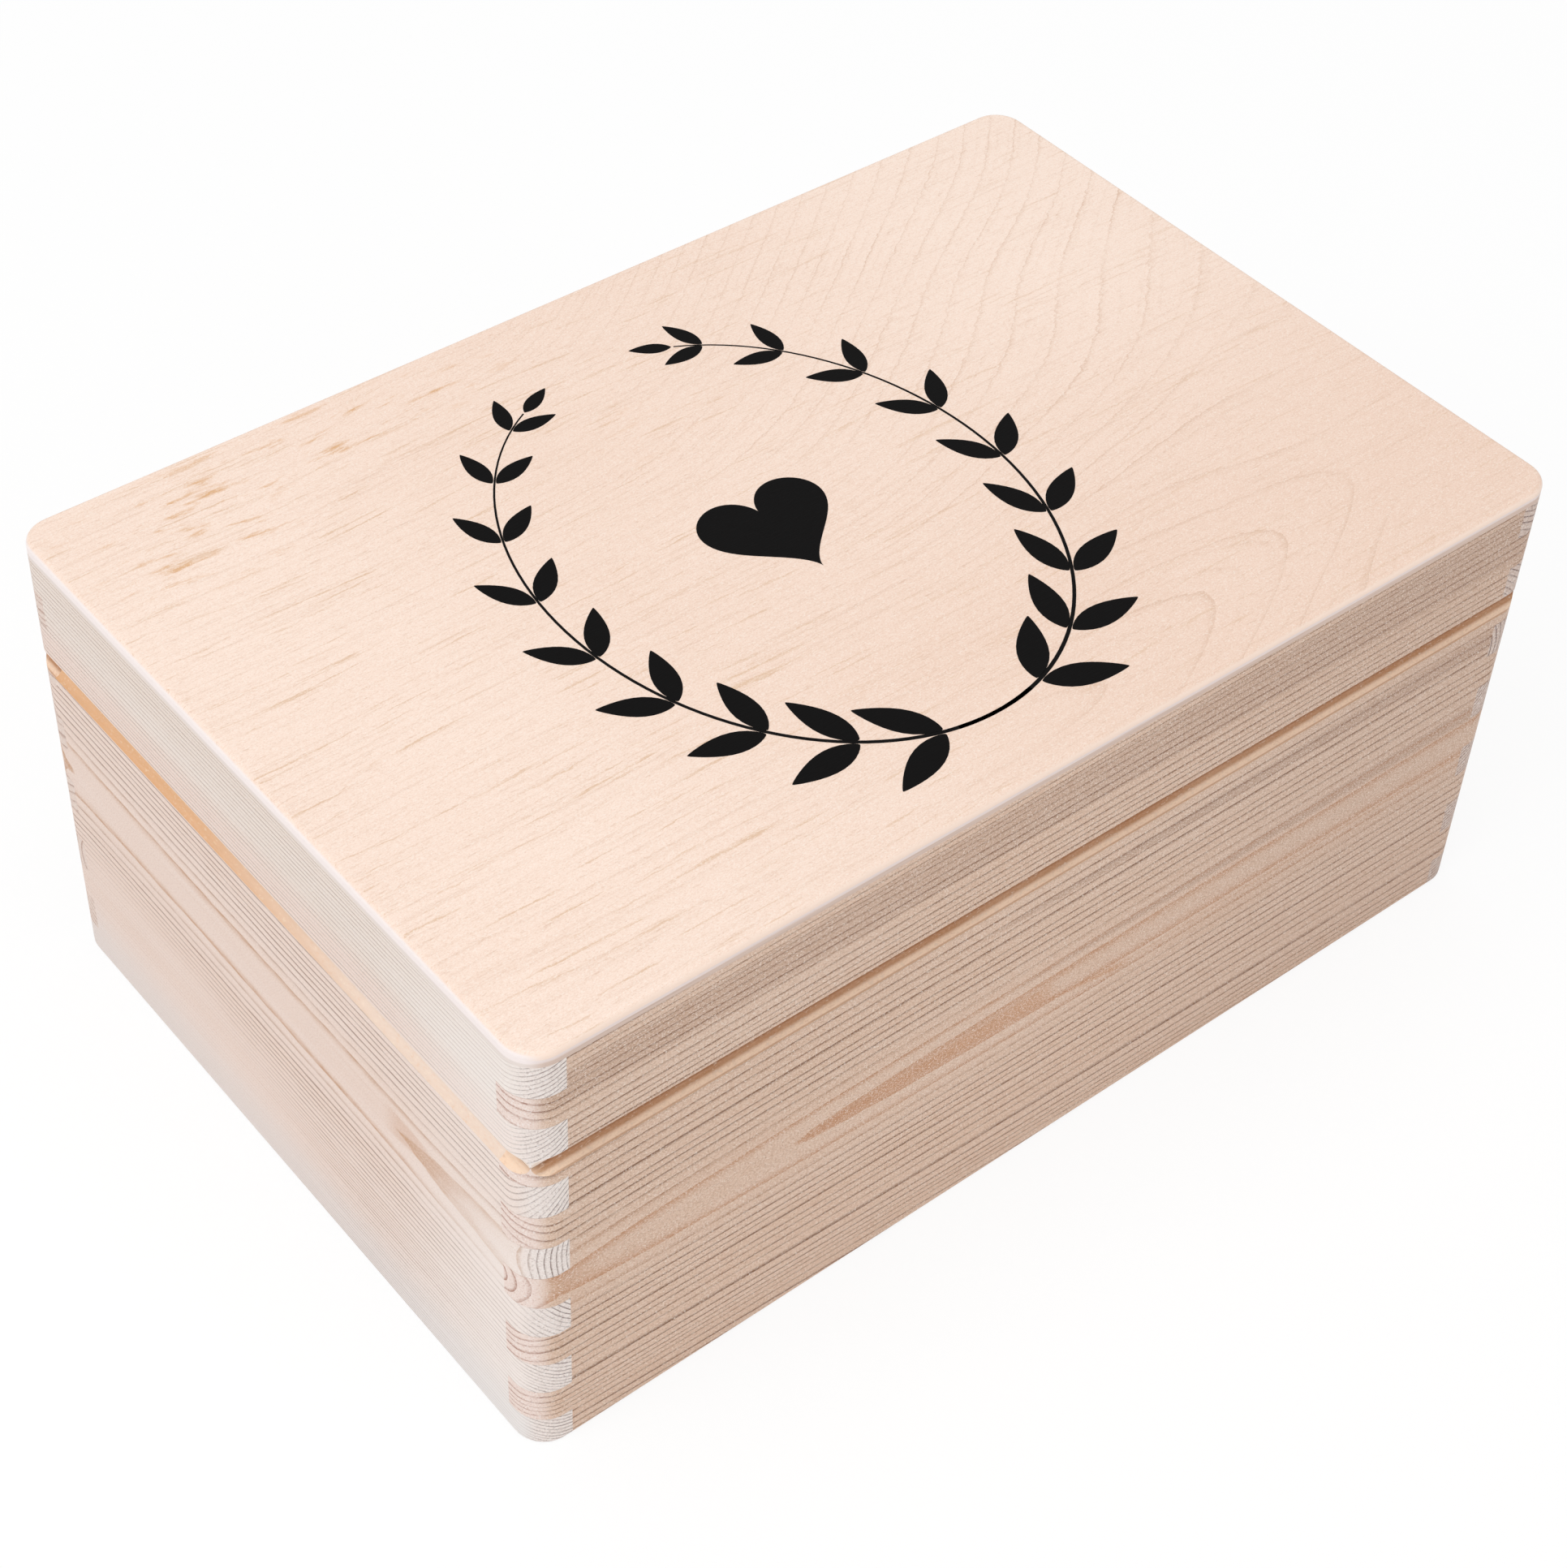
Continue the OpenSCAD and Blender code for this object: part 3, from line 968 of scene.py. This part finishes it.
@dataclass(frozen=True)
class BrassFinish:
    """Satin brass with a light tarnish."""

    name: str = "satin_brass"
    bright: Colour = (222, 184, 108)
    tarnished: Colour = (178, 138, 74)
    tarnish: Noise = Noise((0.22, 0.22, 0.22), detail=3.0)
    brushing: Noise = Noise((0.3, 4.0, 4.0), detail=2.0)

    def make(self) -> bpy.types.Material:
        """Builds the material.

        Returns:
            The brass of the hinges and screws.
        """
        bench = Bench(bpy.data.materials.new(self.name))
        place = bench.places()
        dull = bench.cloud(self.tarnish, *place)
        brushed = bench.cloud(self.brushing, *place)
        colour = bench.blend(dull.ramp(Ramp(-0.6, 1.0, 0.6)), self.bright, self.tarnished)
        rough = dull.ramp(Ramp(-0.5, 1.0, 0.16)) + brushed * 0.02 + 0.28
        return bench.surface(colour, rough, brushed * 0.5, bump_mm=0.01, metallic=1.0, gloss=0.5)


@dataclass(frozen=True)
class InkFinish:
    """Matt black printing ink that has sunk a little into the veneer."""

    name: str = "black_ink"
    full: Colour = (4, 3, 3)
    thin: Colour = (34, 28, 26)
    grain: Noise = Noise((0.3, 3.0, 0.0), detail=3.0)

    def make(self) -> bpy.types.Material:
        """Builds the material.

        Returns:
            The ink of the ornament.
        """
        bench = Bench(bpy.data.materials.new(self.name))
        x, y, _ = bench.places()
        grain = bench.cloud(self.grain, x, y)
        colour = bench.blend(grain.ramp(Ramp(0.3, 1.4, 0.4)), self.full, self.thin)
        return bench.surface(colour, grain * 0.04 + 0.8, grain, bump_mm=0.02, gloss=0.1)


def dress(nodes: dict[str, bpy.types.Object], names: list[str], material: bpy.types.Material) -> None:
    """Gives CAD nodes one material in every slot.

    Args:
        nodes: The frame's nodes by name.
        names: The nodes to dress.
        material: Their material.
    """
    for name in names:
        mesh = nodes[name].data
        if not mesh.materials:
            mesh.materials.append(material)
        for index in range(len(mesh.materials)):
            mesh.materials[index] = material
        log.info("%s is dressed in %s", name, material.name)


@dataclass
class BoardSet:
    """The four boards of the body or of the lid, each cut from a plank with its own rings."""

    nodes: dict[str, bpy.types.Object]
    part: str
    planks: dict[str, PineFinish]

    def dress(self) -> None:
        """Gives each board its own pine."""
        for place, plank in self.planks.items():
            finish = replace(plank, name=f"pine_of_{self.part}_{place}")
            dress(self.nodes, [f"{self.part}_{place}"], finish.make())


@dataclass
class Panels:
    """The plywood base and the plywood top of the lid."""

    nodes: dict[str, bpy.types.Object]

    def dress(self) -> None:
        """Gives each panel its veneers and plies."""
        for name in ("base_panel", "lid_panel"):
            low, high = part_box(name)
            finish = VeneerFinish(f"plywood_of_{name}", low.z / MM, high.z / MM)
            dress(self.nodes, [name], finish.make())


@dataclass
class Hinges:
    """The two butt hinges with their pins and screws."""

    nodes: dict[str, bpy.types.Object]

    def dress(self) -> None:
        """Gives every metal piece the same brass."""
        names = sorted(name for name in self.nodes if "hinge" in name)
        dress(self.nodes, names, BrassFinish().make())


# The heart curve: half of its width, its height's waves from the slowest, and the lift that centres it
HEART_HALF_W = 16.0
HEART_WAVES = (13.0, -5.0, -2.0, -1.0)
HEART_RISE = 2.5


@dataclass
class LidOrnament:
    """A printed ornament on the lid: two leafy sprigs in a ring round a plain heart.

    Lengths are in millimetres, and angles in degrees up from the ring's front. Tapers and the like are
    shares of a full-sized stem or leaf.
    """

    centre: tuple[float, float] = (-10.0, -4.0)
    ring_x: float = 60.0
    ring_y: float = 75.0
    start_angle: float = 2.0
    end_angle: float = 158.0
    stem_lead: float = 12.0
    stem_w: float = 1.1
    stem_taper: float = 0.65
    leaf_pairs: int = 9
    leaf_l: float = 21.0
    leaf_w: float = 7.4
    leaf_taper: float = 0.45
    leaf_lean: float = 38.0
    leaf_belly: float = 0.28
    leaf_gap: float = 0.12
    tip_size: float = 0.5
    heart_size: float = 17.0
    ink: float = 0.06
    sunk: float = 0.02
    top_z: float = field(init=False)

    def __post_init__(self) -> None:
        """Reads the height of the lid's top."""
        self.top_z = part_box("lid_panel")[1].z / MM

    def build(self) -> bpy.types.Object:
        """Builds the whole ornament as one flat piece.

        Returns:
            The piece, which rides on the lid.
        """
        shape = bmesh.new()
        for side in (-1, 1):
            self._stem(shape, side)
            self._leaves(shape, side)
        self._heart(shape)
        self._thicken(shape)
        move = Matrix.Translation(Vector((self.centre[0], self.centre[1], self.top_z - self.sunk)))
        bmesh.ops.transform(shape, matrix=Matrix.Scale(MM, 4) @ move, verts=shape.verts)
        mesh = bpy.data.meshes.new("lid_ornament")
        shape.to_mesh(mesh)
        shape.free()
        piece = bpy.data.objects.new("lid_ornament", mesh)
        bpy.context.scene.collection.objects.link(piece)
        mesh.materials.append(InkFinish().make())
        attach(piece, "lid")
        return piece

    def _on_ring(self, degrees: float, side: int) -> tuple[Vector, Vector]:
        """Finds a point of the ring and the way along it.

        Args:
            degrees: The angle from the bottom, up one side.
            side: 1 for the right half and -1 for the left half.

        Returns:
            The point and the unit direction towards the top.
        """
        turn = math.radians(degrees)
        spot = Vector((side * self.ring_x * math.sin(turn), -self.ring_y * math.cos(turn), 0.0))
        way = Vector((side * self.ring_x * math.cos(turn), self.ring_y * math.sin(turn), 0.0))
        return spot, way.normalized()

    def _stem(self, shape: bmesh.types.BMesh, side: int) -> None:
        """Lays a thin strip along one half of the ring.

        Args:
            shape: The mesh that the strip joins.
            side: 1 for the right half and -1 for the left half.
        """
        first = self.start_angle - self.stem_lead
        made = bmesh.ops.create_grid(shape, x_segments=60, y_segments=1, size=0.5)
        for vert in made["verts"]:
            along = vert.co.x + 0.5
            angle = first + along * (self.end_angle - first)
            spot, way = self._on_ring(angle, side)
            wide = self.stem_w * (1.0 - self.stem_taper * along)
            vert.co = spot + Vector((-way.y, way.x, 0.0)) * (vert.co.y * wide)

    def _leaves(self, shape: bmesh.types.BMesh, side: int) -> None:
        """Sets pairs of leaves and a tip leaf along one half of the ring.

        Args:
            shape: The mesh that the leaves join.
            side: 1 for the right half and -1 for the left half.
        """
        reach = self.end_angle - self.start_angle
        for index in range(self.leaf_pairs):
            share = (index + 0.6) / self.leaf_pairs
            size = 1.0 - self.leaf_taper * share
            spot, way = self._on_ring(self.start_angle + share * reach, side)
            for hand in (-1, 1):
                lean = math.radians(self.leaf_lean * hand)
                self._leaf(shape, spot, math.atan2(way.y, way.x) + lean, size)
        spot, way = self._on_ring(self.end_angle, side)
        self._leaf(shape, spot, math.atan2(way.y, way.x), self.tip_size)

    def _leaf(self, shape: bmesh.types.BMesh, spot: Vector, angle: float, size: float) -> None:
        """Adds one pointed leaf.

        Args:
            shape: The mesh that the leaf joins.
            spot: Where it leaves the stem.
            angle: The way that it points.
            size: Its size, 1 for the largest.
        """
        made = bmesh.ops.create_circle(shape, cap_ends=True, segments=28, radius=1.0)
        for vert in made["verts"]:
            x, y = vert.co.x, vert.co.y
            full = math.sqrt(max(0.0, 1.0 - x * x))
            belly = 1.0 - self.leaf_belly * x
            vert.co.y = y * (0.25 + 0.75 * full) * belly * self.leaf_w * 0.5 * size
            vert.co.x = (x + 1.0 + self.leaf_gap) * self.leaf_l * 0.5 * size
        turn = Matrix.Translation(spot) @ Matrix.Rotation(angle, 4, "Z")
        bmesh.ops.transform(shape, matrix=turn, verts=made["verts"])

    def _heart(self, shape: bmesh.types.BMesh) -> None:
        """Adds the plain heart in the middle.

        Args:
            shape: The mesh that the heart joins.
        """
        made = bmesh.ops.create_circle(shape, cap_ends=True, segments=96, radius=1.0)
        scale = self.heart_size / HEART_HALF_W
        for vert in made["verts"]:
            turn = math.atan2(vert.co.x, vert.co.y)
            wave = sum(size * math.cos(rate * turn) for rate, size in enumerate(HEART_WAVES, 1))
            vert.co.x = scale * HEART_HALF_W * math.sin(turn) ** 3
            vert.co.y = scale * (wave + HEART_RISE)

    def _thicken(self, shape: bmesh.types.BMesh) -> None:
        """Gives the flat shapes the ink's thickness.

        Args:
            shape: The mesh of flat faces.
        """
        bmesh.ops.recalc_face_normals(shape, faces=shape.faces)
        for face in shape.faces:
            if face.normal.z < 0:
                face.normal_flip()
        flat = list(shape.faces)
        raised = bmesh.ops.extrude_face_region(shape, geom=flat)
        verts = [g for g in raised["geom"] if isinstance(g, bmesh.types.BMVert)]
        bmesh.ops.translate(shape, vec=(0.0, 0.0, self.ink + self.sunk), verts=verts)
        bmesh.ops.reverse_faces(shape, faces=[f for f in flat if f.is_valid])
        bmesh.ops.recalc_face_normals(shape, faces=shape.faces)


@dataclass(frozen=True)
class Lamp:
    """A soft square lamp: where it hangs and how long its sides are, in metres, and its power in watts."""

    name: str
    place: Triple
    size: float
    power: float

    def hang(self, target: Vector) -> None:
        """Hangs the lamp so that it looks at the target."""
        data = bpy.data.lights.new(self.name, "AREA")
        data.shape = "SQUARE"
        data.size = self.size
        data.energy = self.power
        lamp = bpy.data.objects.new(self.name, data)
        lamp.location = self.place
        lamp.rotation_euler = (target - Vector(self.place)).to_track_quat("-Z", "Y").to_euler()
        bpy.context.scene.collection.objects.link(lamp)


@dataclass(frozen=True)
class Studio:
    """The camera, the soft lamps and the white floor, placed in metres.

    The world is white to look at and darker as a light, and the floor glows where it is seen.
    """

    camera_place: Triple = (-0.36624, -0.41724, 0.59070)
    camera_turn: Triple = (0.790606, -0.038402, -0.680448)
    focal_px: float = 3817.96
    near_clip: float = 0.01
    target: Triple = (0.0, 0.0, 0.06)
    world_light: float = 0.576
    floor_size: float = 6.0
    floor_bright: float = 0.82
    floor_glow: float = 1.02
    floor_grey: float = 0.95
    lamps: tuple[Lamp, ...] = (
        Lamp("key_lamp", (-1.2, -0.2, 1.5), 1.4, 13.2),
        Lamp("top_lamp", (0.2, 0.1, 1.8), 1.2, 4.6),
        Lamp("front_lamp", (0.5, -1.8, 0.8), 1.2, 4.0),
    )

    def camera(self) -> None:
        """Sets the camera where the photograph was taken from."""
        data = bpy.data.cameras.new("camera")
        data.sensor_fit = "VERTICAL"
        data.sensor_height = SENSOR_MM
        data.lens = self.focal_px * SENSOR_MM / PHOTO_HEIGHT
        data.clip_start = self.near_clip
        camera = bpy.data.objects.new("camera", data)
        camera.location = self.camera_place
        camera.rotation_euler = Euler(self.camera_turn, "XYZ")
        bpy.context.scene.collection.objects.link(camera)
        bpy.context.scene.camera = camera

    def light(self) -> None:
        """Hangs the lamps and makes the world white to look at and plain as a light."""
        for lamp in self.lamps:
            lamp.hang(Vector(self.target))
        world = bpy.data.worlds.new("studio")
        bpy.context.scene.world = world
        bench = Bench(world)
        strength = bench.seen() * (1.0 - self.world_light) + self.world_light
        bench.show(bench.node("ShaderNodeBackground", None, {"Color": WHITE, "Strength": strength}))

    def floor(self) -> None:
        """Lays a white floor that keeps the box's shadow."""
        shape = bmesh.new()
        bmesh.ops.create_grid(shape, x_segments=1, y_segments=1, size=self.floor_size * 0.5)
        mesh = bpy.data.meshes.new("studio_floor")
        shape.to_mesh(mesh)
        shape.free()
        floor = bpy.data.objects.new("studio_floor", mesh)
        bpy.context.scene.collection.objects.link(floor)
        bench = Bench(bpy.data.materials.new("white_floor"))
        grey = (self.floor_grey, self.floor_grey, self.floor_grey, 1.0)
        matt = bench.node("ShaderNodeBsdfDiffuse", None, {"Color": grey})
        glow = bench.node("ShaderNodeEmission", None, {"Color": WHITE, "Strength": self.floor_glow})
        inputs = {0: bench.seen() * self.floor_bright, 1: matt.outputs[0], 2: glow.outputs[0]}
        bench.show(bench.node("ShaderNodeMixShader", None, inputs))
        mesh.materials.append(bench.owner)


FRONT_PLANK = PineFinish(
    "front", Grain.ALONG_X, Side.LOW,
    Rings(
        pith_depth=7.6, pith_z=55.3, width=2.95, edge=12.5, fall=-0.012, low_end=EndDrift(4.6, 75.0),
        crowd_below=0.08, spread=0.0008, flat_darkness=0.7,
    ),
    end_pale=(240, 221, 212), end_dark=(176, 132, 114), pits=0.8, sparkle=1.15, far_shade=0.24,
    streaks=(
        Streak(-80.0, -3.0, 56.3, -0.02, 5.8, 0.7),
        Streak(-14.0, 22.0, 53.6, -0.15, 2.4, 0.75),
        Streak(8.0, 230.0, 48.6, -0.004, 1.5, 0.7),
        # The last two are wide bands of painted shade across the front board
        Streak(-30.0, 400.0, 88.0, 0.0, 12.0, 0.4, PAINTED_SHADE_TONE),
        Streak(-20.0, 400.0, 63.5, 0.0, 10.0, 0.4, PAINTED_SHADE_TONE),
    ),
    groove=GrooveTintAndShade(fade=Ramp(-149.5, -144.5)),
)
BACK_PLANK = PineFinish(
    "back", Grain.ALONG_X, Side.HIGH,
    Rings(
        pith_depth=16.0, pith_z=38.0, width=2.6, edge=19.0, fall=0.02, low_end=EndDrift(3.0, 60.0),
        high_end=EndDrift(-3.5, 90.0),
    ),
    end_pale=(230, 211, 200), end_dark=(180, 146, 130),
)
LEFT_PLANK = PineFinish(
    "left", Grain.ALONG_Y, Side.LOW,
    Rings(
        pith_depth=32.4, pith_z=65.7, width=1.25, edge=33.4, low_end=EndDrift(-1.3, 42.0),
        high_end=EndDrift(-0.62, 12.0), crowd=0.0012, crowd_below=0.08, flat_darkness=0.45, line=1.12,
    ),
    pale=(239, 219, 208), dark=(146, 108, 88), glow=(200, 152, 114), sparkle=0.8,
    fade=Spot(60.0, 14.0, 85.0, 32.0), glare=Spot(-99.0, 4.0, 75.0, 52.0), corner_light=0.5, foot_light=0.45,
    streaks=(Streak(-76.0, -47.0, 67.3, 0.0, 9.5, 0.4),),
    # The left groove is lit, so its colours are paler, and its orange painted shade comes in only towards the
    # back
    groove=GrooveTintAndShade(
        deep=(228, 184, 142), dark=(230, 182, 134), pale=(241, 222, 207), fade=Ramp(-50.0, 45.0),
        step=Ramp(-4.0, -3.5, 0.92),
    ),
)
# The right board's end grain is darker: painted shade where its fingers show at the far right corner
RIGHT_PLANK = PineFinish(
    "right", Grain.ALONG_Y, Side.HIGH,
    Rings(pith_depth=24.0, pith_z=84.0, width=1.6, edge=26.0, low_end=EndDrift(1.5, 60.0), crowd=0.0012),
    pale=(232, 208, 193), dark=(168, 132, 112), end_pale=(212, 191, 179), end_dark=(112, 86, 80),
)
BODY_PLANKS = {plank.name: plank for plank in (FRONT_PLANK, BACK_PLANK, LEFT_PLANK, RIGHT_PLANK)}
# The lid is cut from the same planks as the body, and two of its boards look a little different
LID_PLANKS = BODY_PLANKS | {
    # The lid's front board keeps only one wide band of painted shade as its streak
    "front": replace(FRONT_PLANK, streaks=(Streak(-400.0, 400.0, 120.0, 0.0, 20.0, 0.3, PAINTED_SHADE_TONE),)),
    # The lid's left board is paler and has more of the painted light near its corner
    "left": replace(
        LEFT_PLANK, pale=(240, 228, 219), dark=(174, 150, 138), glow=(214, 190, 174), sparkle=0.9, streaks=(),
        blush=(240, 217, 206), blush_range=Ramp(116.0, 106.0, BLUSH_SHARE), corner_light=0.75,
    ),
}


def main() -> None:
    """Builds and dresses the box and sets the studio."""
    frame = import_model()
    studio = Studio()
    studio.camera()
    nodes = frame["nodes"]
    BoardSet(nodes, "body", BODY_PLANKS).dress()
    BoardSet(nodes, "lid", LID_PLANKS).dress()
    Panels(nodes).dress()
    Hinges(nodes).dress()
    ornament = LidOrnament().build()
    log.info("%s has %d faces", ornament.name, len(ornament.data.polygons))
    studio.light()
    studio.floor()
    bpy.context.scene.view_settings.view_transform = "Standard"
    bpy.context.view_layer.update()


if __name__ == "__main__":
    logging.basicConfig(level=logging.INFO, format="%(message)s")
    main()
